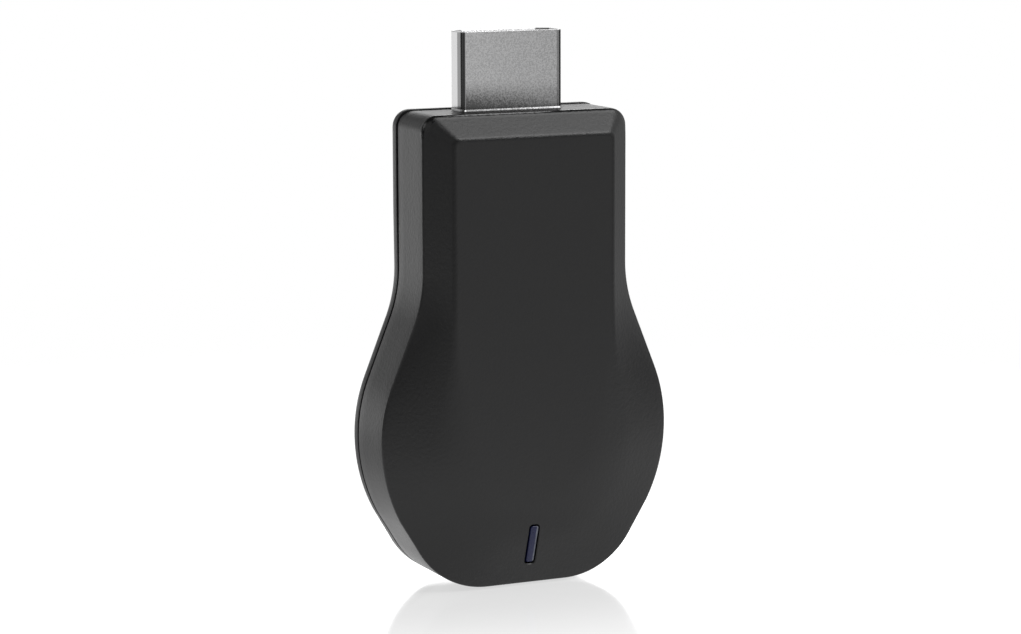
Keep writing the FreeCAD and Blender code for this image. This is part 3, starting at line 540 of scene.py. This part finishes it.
def panel_outline(inset):
    """The panel's point for each point of the body's outline: in the same direction from the
    middle of the round below it, level beside it, and at the same turn in the top corners."""
    body = body_outline(0)
    x, z = np.abs(body[:, 0]), body[:, 1]
    side = np.sign(body[:, 0])
    half, top = panel_half - inset, panel_top - inset
    angle = np.arctan2(z - round_z, x)
    shoulder_x, shoulder_z = neck_half - shoulder_radius, body_top - shoulder_radius
    corner_x, corner_z = half - panel_corner, top - panel_corner
    bend_z = bend_height()
    level = np.interp(z, [round_z, bend_z, shoulder_z], [round_z, bend_z, corner_z])
    twist = np.arctan2(z - shoulder_z, x - shoulder_x)
    places = [z < round_z, z <= shoulder_z, x > shoulder_x]
    across = np.select(
        places, [half * np.cos(angle), half, corner_x + panel_corner * np.cos(twist)],
        x * corner_x / shoulder_x,
    )
    up = np.select(
        places, [round_z + half * np.sin(angle), level, corner_z + panel_corner * np.sin(twist)],
        top,
    )
    return np.stack([side * across, up], axis=1)


def at_depth(points, y):
    """Points of the front view put at a depth."""
    return np.stack([points[:, 0], np.broadcast_to(y, len(points)), points[:, 1]], axis=1)


def between(start, end, shares):
    """Rows of points from one row to another, at shares of the way."""
    return [(1 - share) * start + share * end for share in shares]


def rounding(start, corner, end, count):
    """Rows of points on the curve that leaves start towards the corner and arrives from it at
    end: the square-weighted mean of the three."""
    return [
        (1 - share) ** 2 * start + 2 * share * (1 - share) * corner + share ** 2 * end
        for share in np.linspace(0, 1, count)
    ]


def front_rows():
    """The front shell's profile carried round the outline: panel, softened edge, facet, rounded
    rim and side wall, then the parting face and back along the inside. The panel's edge is softer
    low down, and the rim is softer at the top."""
    body, panel = body_outline(0), panel_outline(0)
    spine = np.stack([0 * panel[:, 0], np.clip(panel[:, 1], round_z, 50)], axis=1)
    rim, edge = at_depth(body, rim_y), at_depth(panel, front_y)
    slope = edge - rim
    length = np.linalg.norm(slope, axis=1)[:, None]
    inward = at_depth(panel - body, 0)
    inward /= np.linalg.norm(inward, axis=1)[:, None]
    low = np.clip((low_from - panel[:, 1]) / low_over, 0, 1)[:, None]
    softness = panel_softness + low_softness * low ** 2 * (3 - 2 * low)
    facet_start = edge - softness * slope / length
    at_top = np.clip((body[:, 1] - top_from) / top_over, 0, 1)[:, None]
    softer = rim_softness + top_softness * at_top
    rim_end = rim + softer * slope / length
    side_start = at_depth(body, rim_y + softer[:, 0])
    panel_ring = edge + softness * inward
    rows = between(at_depth(spine, front_y), panel_ring, np.linspace(0, 1, 7)[:-1])
    rows += rounding(panel_ring, edge, facet_start, 12)
    rows += between(facet_start, rim_end, np.linspace(0, 1, 6)[1:-1])
    rows += rounding(rim_end, rim, side_start, 9)
    side_end = at_depth(body, parting_y - seam_edge)
    rows += between(side_start, side_end, np.linspace(0, 1, 5)[1:-1])
    parting_edge = at_depth(body_outline(seam_edge), parting_y)
    rows += rounding(side_end, at_depth(body, parting_y), parting_edge, 4)
    inner = body_outline(wall)
    rows += [at_depth(inner, parting_y), at_depth(inner, rim_y + 0.55 * wall)]
    rows += [at_depth(panel_outline(0.3 * wall), front_y + wall), at_depth(spine, front_y + wall)]
    return rows


def plug_mouth():
    """The tool for the plug's opening: the section with its clearance, flared at the top face."""
    return moulding("plug_mouth_tool", closed([
        along_z(plug_section(plug_clearance), body_top - 3),
        along_z(plug_section(plug_clearance), body_top - 0.15),
        along_z(plug_section(plug_clearance + plug_flare), body_top + 0.5),
    ]))


def slot_loop(grow):
    """The indicator slot from the front: an upright bar with well rounded corners."""
    corners = [(1, slot_high), (-1, slot_high), (-1, slot_low), (1, slot_low)]
    return rounded_loop(np.array(corners) * [slot_half, 1], slot_corner, grow)


def facet_depth(z):
    """The depth of the facet under the panel, on the middle line."""
    return rim_y + (front_y - rim_y) * z / (round_z - panel_half)


def slot_row(grow, behind):
    """The slot's loop, laid on the facet and moved behind it."""
    loop = slot_loop(grow)
    return at_depth(loop, facet_depth(loop[:, 1]) + behind)


def slot_tool():
    """The tool for the slot, with a narrow chamfer where it meets the facet."""
    return moulding("slot_tool", closed([
        slot_row(chamfer_reach + slot_chamfer, -chamfer_reach), slot_row(0.0, slot_chamfer),
        slot_row(0.0, 4.0),
    ]))


def socket_tool():
    """The tool for the power socket's opening in the foot, flared at the outside."""
    corners = np.array([
        (3.75, 1.845), (-3.75, 1.845), (-3.75, 0.545), (-2.8, -0.655), (2.8, -0.655), (3.75, 0.545),
    ])
    return moulding("socket_tool", closed([
        along_z(rounded_loop(corners, socket_corner, socket_clearance + socket_flare), -0.5),
        along_z(rounded_loop(corners, socket_corner, socket_clearance), 0.1),
        along_z(rounded_loop(corners, socket_corner, socket_clearance), 3.0),
    ]))


def button_loop(grow):
    """The mode button's pill in the flank: depth and height round its edge."""
    reach = button_half_length - button_half_width
    top = arc((button_y, round_z + reach), button_half_width + grow, 0, 180, 16)
    bottom = arc((button_y, round_z - reach), button_half_width + grow, 180, 360, 16)
    return np.concatenate([top, bottom])


def flank_row(loop, radius):
    """A loop of depths and heights laid on a drum about the middle of the round."""
    drum = np.sqrt(radius ** 2 - (loop[:, 1] - round_z) ** 2)
    return np.stack([drum, loop[:, 0], loop[:, 1]], axis=1)


def button_tool():
    """The tool for the button's opening, with a narrow chamfer at the outside."""
    outside = round_radius + chamfer_reach - button_chamfer
    return moulding("button_tool", closed([
        flank_row(button_loop(button_clearance + chamfer_reach), outside),
        flank_row(button_loop(button_clearance), round_radius - button_chamfer),
        flank_row(button_loop(button_clearance), round_radius - 3),
    ]))


black_plastic = Finish("black_plastic", Metallic=0.0, IOR=1.46)
fine_grain = black_plastic.noise(6500.0, 3.0)
broad_grain = black_plastic.noise(2300.0, 2.0)
mixed_grain = fine_grain * 0.6 + broad_grain * 0.4
black_plastic.colour(
    black_plastic.blend(mixed_grain, (0.0060, 0.0060, 0.0063), (0.0090, 0.0090, 0.0094))
)
rim_depth = black_plastic.axis("Y")
top_rim = (
    black_plastic.step(rim_depth, -0.00425, -0.00405)
    * (1 - black_plastic.step(rim_depth, -0.00330, -0.00310))
    * black_plastic.step(black_plastic.axis("Z"), 0.0570, 0.0585)
)
black_plastic.roughness(0.32 + fine_grain * 0.08 + broad_grain * 0.04 - top_rim * 0.22)
black_plastic.bump(fine_grain * 0.5 + broad_grain * 1.8, 0.000018)

front_cover = moulding("front_cover", front_rows())
cut(front_cover, plug_mouth(), slot_tool(), socket_tool(), button_tool())
front_cover.data.materials.append(black_plastic.material)
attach(front_cover, "dongle")
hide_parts("front_shell")


# Indicator lens
# A dark blue light guide, sunk a little in its slot, with a flange behind the wall and a stem
# back to the light on the board. A paler stripe along its right side is a painted highlight.

lens_gap, lens_sink, lens_edge = 0.23, 0.06, 0.12
flange_depth, flange_margin, flange_thickness = 1.75, 0.75, 0.7
stem_half, stem_middle, stem_end = (0.9, 0.7), 7.45, 0.995


def lens_rows():
    """The light guide's profile carried back along the slot: its rounded face, bar, flange and
    stem."""
    face = slot_row(-lens_gap - lens_edge, lens_sink)
    bar = slot_row(-lens_gap, lens_sink + lens_edge)
    flange = slot_row(-lens_gap, flange_depth), slot_row(flange_margin, flange_depth)
    turns = np.radians(np.linspace(0, 360, len(bar), endpoint=False))
    stem = np.stack([np.cos(turns), np.sin(turns)], axis=1) * stem_half + [0, stem_middle]
    behind = at_depth(stem, facet_depth(stem[:, 1]) + flange_depth + flange_thickness)
    flange_rear = slot_row(flange_margin, flange_depth + flange_thickness)
    rows = rounding(face, slot_row(-lens_gap, lens_sink), bar, 4)
    return rows + [*flange, flange_rear, behind, at_depth(stem, stem_end)]


lens_plastic = Finish("lens_plastic", Metallic=0.0, IOR=1.42)
tint = lens_plastic.noise(1800.0, 3.0)
beside = lens_plastic.axis("X") + tint * 0.00012
# The stripe along the right side is a painted highlight.
painted_highlight_streak = lens_plastic.step(beside, 0.00030, 0.00042) * (0.3 + tint * 0.9)
navy = lens_plastic.blend(tint, (0.002, 0.004, 0.034), (0.009, 0.014, 0.066))
lens_plastic.colour(lens_plastic.blend(painted_highlight_streak, navy, (0.16, 0.17, 0.20)))
lens_plastic.roughness(0.24 + tint * 0.1)
lens_plastic.bump(tint, 0.00001)
light_guide = moulding("light_guide", closed(lens_rows()))
light_guide.data.materials.append(lens_plastic.material)
cut(light_guide)
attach(light_guide, "dongle")
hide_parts("indicator_lens")


# Rear shell
# The shallow tray behind the parting line, in the same grained plastic, with a rounded edge.
# Its lip snaps into the front shell.

rear_y = 6.5
rear_wall = 1.3
rear_edge, foot_share, foot_height = 1.4, 0.25, 9
proud_side, proud_top, proud_from, proud_over = 0.12, 0.15, 36, 12
lip_inset, lip_height, lip_thickness = 1.48, 1.0, 0.7
seam_gap, seam_depth = 0.36, 0.5


def corner_row(inset, y, proud=0):
    """The body's outline, moved in by the inset, at a depth. A proud row stands out a little past
    the front shell beside the neck and above the top, which shows as a dark line there."""
    outline = body_outline(inset)
    beside = np.clip((outline[:, 1] - proud_from) / proud_over, 0, 1)
    beside *= np.clip(np.abs(outline[:, 0]) / neck_half, 0, 1) ** 4
    above = np.clip((outline[:, 1] - body_top + shoulder_radius) / shoulder_radius, 0, 1)
    outline[:, 0] += proud * proud_side * beside * np.sign(outline[:, 0])
    outline[:, 1] += proud * proud_top * above
    return at_depth(outline, y)


def rear_rows():
    """The rear shell's profile carried round the outline: hollow, lip, the sunk seam, the side, a
    rounding that is smaller at the foot, and the rear face."""
    outline = body_outline(0)
    spine = np.stack([0 * outline[:, 0], np.clip(outline[:, 1], round_z, 50)], axis=1)
    tray_inset = lip_inset + lip_thickness
    seam_y = parting_y + seam_gap
    rows = [at_depth(spine, rear_y - rear_wall), corner_row(tray_inset, rear_y - rear_wall)]
    rows += [corner_row(inset, parting_y - lip_height) for inset in (tray_inset, lip_inset)]
    rows += [corner_row(inset, parting_y) for inset in (lip_inset, seam_depth)]
    rows += [corner_row(seam_depth, seam_y)]
    side_start = corner_row(0, seam_y + seam_edge, 1)
    rows += rounding(corner_row(seam_edge, seam_y, 1), corner_row(0, seam_y, 1), side_start, 4)
    share = foot_share + (1 - foot_share) * np.clip(outline[:, 1] / foot_height, 0, 1)
    corner = corner_row(0, rear_y, 1)
    face_edge = corner + share[:, None] * (corner_row(rear_edge, rear_y, 1) - corner)
    rows += rounding(corner_row(0, rear_y - share * rear_edge, 1), corner, face_edge, 10)
    rows += between(face_edge, at_depth(spine, rear_y), np.linspace(0, 1, 7)[1:])
    return rows


def plug_notch():
    """The tool for the plug's room in the rear shell, from under the plug to above the body."""
    return moulding("plug_notch_tool", closed([
        along_z(plug_section(plug_clearance), 52.0),
        along_z(plug_section(plug_clearance), body_top + 0.5),
    ]))


rear_cover = moulding("rear_cover", rear_rows())
cut(rear_cover, plug_notch())
rear_cover.data.materials.append(black_plastic.material)
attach(rear_cover, "dongle")
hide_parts("rear_shell")


# Mode button
# A separate moulded pill in the right flank, a little smoother than the shells, which slides in
# and springs back on the switch.

button_plastic = Finish("button_plastic", Metallic=0.0, IOR=1.42)
button_grain = button_plastic.noise(6500.0, 3.0)
button_plastic.grained(
    button_grain, (0.012, 0.012, 0.013), (0.018, 0.018, 0.019), 0.34, 0.08, 0.000003
)
dress("mode_button", button_plastic, "mode_key", "button", 0.00012)


# Floor, light and camera
# The pale sheet lies a clear sheet's thickness below the dongle, so its shine starts a little under
# the foot.
# The pale sheet's glow is painted light: a painted shadow close round the dongle, a painted pool
# of light just behind the foot, and dimmer far behind and far in front. It fades into a white room
# with soft panels of light all round. The camera has the photograph's viewpoint.

clear_sheet = 0.00027
floor_corners = [(x, y, -clear_sheet) for x, y in ((-3, -3), (3, -3), (3, 3), (-3, 3))]
floor_mesh = bpy.data.meshes.new("floor")
floor_mesh.from_pydata(floor_corners, [], [(0, 1, 2, 3)])
floor = bpy.data.objects.new("floor", floor_mesh)
bpy.context.scene.collection.objects.link(floor)
paper = Finish("paper", Metallic=0.0, IOR=1.45, Emission_Strength=1.0)
fibre = paper.noise(300.0, 3.0)
away = paper.node("ShaderNodeVectorMath", {"operation": "LENGTH"}, {0: paper.place}, "Value")
behind = paper.axis("Y")
close_behind = paper.step(behind, 0.000, 0.004) * (1 - paper.step(behind, 0.013, 0.030))
far_behind = paper.step(behind, 0.030, 0.060)
in_front = 1 - paper.step(behind, -0.035, -0.008)
far_in_front = 1 - paper.step(behind, -0.100, -0.045)
# The glow is painted light: a painted shadow near the dongle, a painted pool of light just behind
# the foot, dimmer far behind and far in front.
brightness = (
    0.38 + paper.step(away, 0.012, 0.060) * 0.09 + close_behind * 0.36
    - far_behind * 0.24 + in_front * 0.07 - far_in_front * 0.27
)
painted_glow = paper.blend(brightness, (0.0, 0.0, 0.0), (1.6, 1.6, 1.6))
paper.tree.links.new(painted_glow.socket, paper.shader.inputs["Emission Color"])
paper.colour(paper.blend(fibre, (0.24, 0.24, 0.24), (0.26, 0.26, 0.26)))
paper.roughness(0.09 + fibre * 0.03)
paper.tree.links.new((1 - paper.step(away, 0.12, 0.19)).socket, paper.shader.inputs["Alpha"])
floor_mesh.materials.append(paper.material)


class Room(Finish):
    """The world's nodes: how bright each direction is."""

    def __init__(self, name):
        self.world = bpy.data.worlds.new(name)
        self.world.use_nodes = True
        self.tree = self.world.node_tree
        self.place = self.node("ShaderNodeTexCoord", {}, {}, "Generated")

    def panel(self, aim, inner, outer, strength):
        """A soft round panel of light: full up to the inner angle from its aim, and none past the
        outer."""
        unit = (np.array(aim) / np.linalg.norm(aim)).tolist()
        nearness = self.node(
            "ShaderNodeVectorMath", {"operation": "DOT_PRODUCT"}, {0: self.place, 1: unit}, "Value"
        )
        edges = np.cos(np.radians([outer, inner]))
        return self.step(nearness, float(edges[0]), float(edges[1])) * strength


room = Room("room")
panels = {
    "overhead": ((0.40, -0.30, 0.87), 14, 30, 2.6),
    "overhead_core": ((0.41, -0.50, 0.76), 4, 14, 5.5),
    "behind_right": ((0.42, 0.90, 0.10), 8, 25, 1.85),
    "behind_left": ((-0.42, 0.90, 0.19), 5, 20, 0.36),
    "low_behind_left": ((-0.42, 0.90, -0.16), 5, 20, 1.27),
    "low_left": ((-0.90, 0.42, -0.15), 5, 20, 0.33),
    "low_front_left": ((-0.90, -0.42, -0.15), 5, 25, 0.46),
    "low_front": ((-0.30, -0.94, -0.15), 8, 26, 0.36),
    "low_front_right": ((0.42, -0.90, -0.15), 10, 35, 0.82),
    "low_behind": ((0.10, 0.95, -0.35), 8, 25, 0.17),
    "low_right": ((1.00, 0.10, -0.15), 10, 35, 0.42),
    "right": ((1.00, 0.20, 0.25), 10, 45, 0.16),
    "high_behind": ((-0.25, 0.87, 0.43), 8, 24, 0.36),
    "middle_behind": ((0.00, 0.99, -0.15), 5, 18, 0.90),
    "high_left": ((-0.80, 0.27, 0.53), 8, 24, 1.2),
    "high_front_left": ((-0.70, -0.47, 0.55), 10, 34, 0.52),
    "high_right": ((0.85, -0.10, 0.60), 10, 45, 0.49),
}
shine = 0.02
for aim, inner, outer, strength in panels.values():
    shine = room.panel(aim, inner, outer, strength) + shine
seen = room.node("ShaderNodeLightPath", {}, {}, "Is Camera Ray")
backdrop = shine + seen * (1 - shine)
room.tree.links.new(backdrop.socket, room.tree.nodes["Background"].inputs["Strength"])
room.tree.nodes["Background"].inputs["Color"].default_value = (1, 1, 1, 1)
bpy.context.scene.world = room.world

target = np.array([-1.7925, -2.868, 34.44]) * millimetre
distance = 0.38355
yaw, pitch, roll = (math.radians(angle) for angle in (24.905, 8.857, -0.186))
level = np.array([math.cos(yaw), -math.sin(yaw), 0])
ahead = math.cos(pitch) * np.array([math.sin(yaw), math.cos(yaw), 0])
ahead[2] = -math.sin(pitch)
upright = np.cross(level, ahead)
right = math.cos(roll) * level + math.sin(roll) * upright
above = math.cos(roll) * upright - math.sin(roll) * level
camera = bpy.data.cameras.new("viewpoint")
camera.lens = 106.97
camera.sensor_width = 36.0
camera.clip_start = 0.01
viewpoint = bpy.data.objects.new("viewpoint", camera)
matrix = np.eye(4)
matrix[:3] = np.stack([right, above, -ahead, target - ahead * distance], axis=1)
viewpoint.matrix_world = Matrix(matrix.tolist())
bpy.context.scene.collection.objects.link(viewpoint)
bpy.context.scene.camera = viewpoint
bpy.context.scene.view_settings.view_transform = "Standard"
